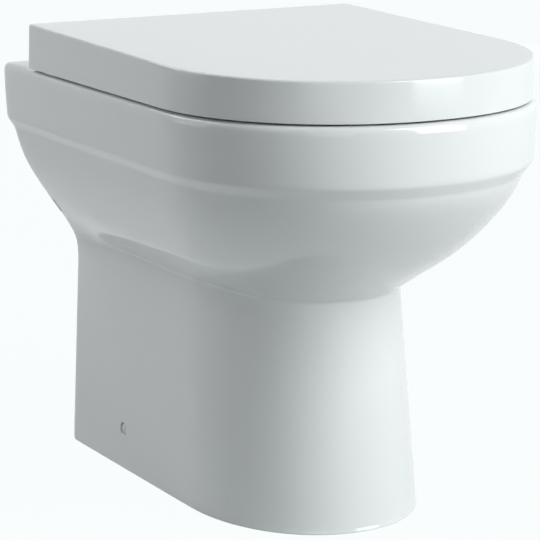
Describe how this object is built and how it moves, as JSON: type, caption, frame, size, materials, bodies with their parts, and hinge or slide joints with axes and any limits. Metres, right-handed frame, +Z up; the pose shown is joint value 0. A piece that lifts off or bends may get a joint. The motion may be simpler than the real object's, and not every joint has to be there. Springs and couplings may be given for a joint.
{
  "type": "back to wall toilet",
  "caption": "White back to wall toilet with a D-shaped bowl on a skirted pedestal, a soft-close seat and a wrap-over lid.",
  "frame": {"origin": "on the floor, in the wall plane, midway across the pan", "axes": "+Z up, -Y out from the wall towards the user, +X to the right seen from in front"},
  "size_m": [0.363, 0.52, 0.4447],
  "materials": {
    "china": "glossy white glaze over vitreous china, bare biscuit on the hidden inner faces",
    "seat_plastic": "glossy white moulded urea plastic",
    "hinge_metal": "fine brushed stainless steel",
    "button_chrome": "polished chrome plating",
    "plain_steel": "turned stainless steel with fine lathe rings",
    "damper_plastic": "fine grained grey moulded plastic",
    "black_rubber": "matt black rubber",
    "buffer_rubber": "soft pale grey rubber",
    "nylon": "off-white moulded nylon with a fine grain",
    "cap_plastic": "glossy white plastic"
  },
  "bodies": {
    "pan": {"pan": "china", "bowl": "china", "trapway": "china", "flush_horn": "china", "stud_gaskets": "black_rubber", "fixing_studs": "plain_steel", "rubber_bushes": "black_rubber", "stud_washers": "plain_steel", "wing_nuts": "nylon", "left_hinge_base": "hinge_metal", "right_hinge_base": "hinge_metal", "left_hinge_body": "hinge_metal", "right_hinge_body": "hinge_metal", "left_seat_damper": "damper_plastic", "right_seat_damper": "damper_plastic", "left_lid_damper": "damper_plastic", "right_lid_damper": "damper_plastic", "left_button_spring": "plain_steel", "right_button_spring": "plain_steel", "left_floor_bracket": "nylon", "right_floor_bracket": "nylon", "bracket_sleeves": "nylon", "pan_screws": "plain_steel", "screw_caps": "cap_plastic"},
    "seat": {"seat_ring": "seat_plastic", "seat_buffers": "buffer_rubber", "left_seat_arm": "hinge_metal", "right_seat_arm": "hinge_metal", "seat_arm_screws": "plain_steel", "left_seat_spindle": "plain_steel", "right_seat_spindle": "plain_steel"},
    "lid": {"lid": "seat_plastic", "lid_buffers": "buffer_rubber", "left_lid_arm": "hinge_metal", "right_lid_arm": "hinge_metal", "lid_arm_screws": "plain_steel", "left_lid_spindle": "plain_steel", "right_lid_spindle": "plain_steel"},
    "left_button": {"left_release_button": "button_chrome"},
    "right_button": {"right_release_button": "button_chrome"}
  },
  "joints": [
    {"name": "lid_hinge", "type": "hinge", "parent": "pan", "child": "lid", "pos_m": [0, -0.072, 0.425], "axis": [-1, 0, 0], "range_deg": [0, 95]},
    {"name": "seat_hinge", "type": "hinge", "parent": "pan", "child": "seat", "pos_m": [0, -0.072, 0.425], "axis": [-1, 0, 0], "range_deg": [0, 95]},
    {"name": "left_button_press", "type": "slide", "parent": "pan", "child": "left_button", "axis": [0, 0, -1], "range_m": [0, 0.002], "stiffness_N_per_m": 800, "deforming": ["left_button_spring"]},
    {"name": "right_button_press", "type": "slide", "parent": "pan", "child": "right_button", "axis": [0, 0, -1], "range_m": [0, 0.002], "stiffness_N_per_m": 800, "deforming": ["right_button_spring"]}
  ],
  "couplings": [
    {"joint": "seat_hinge", "follows": "lid_hinge", "ratio": 1}
  ]
}
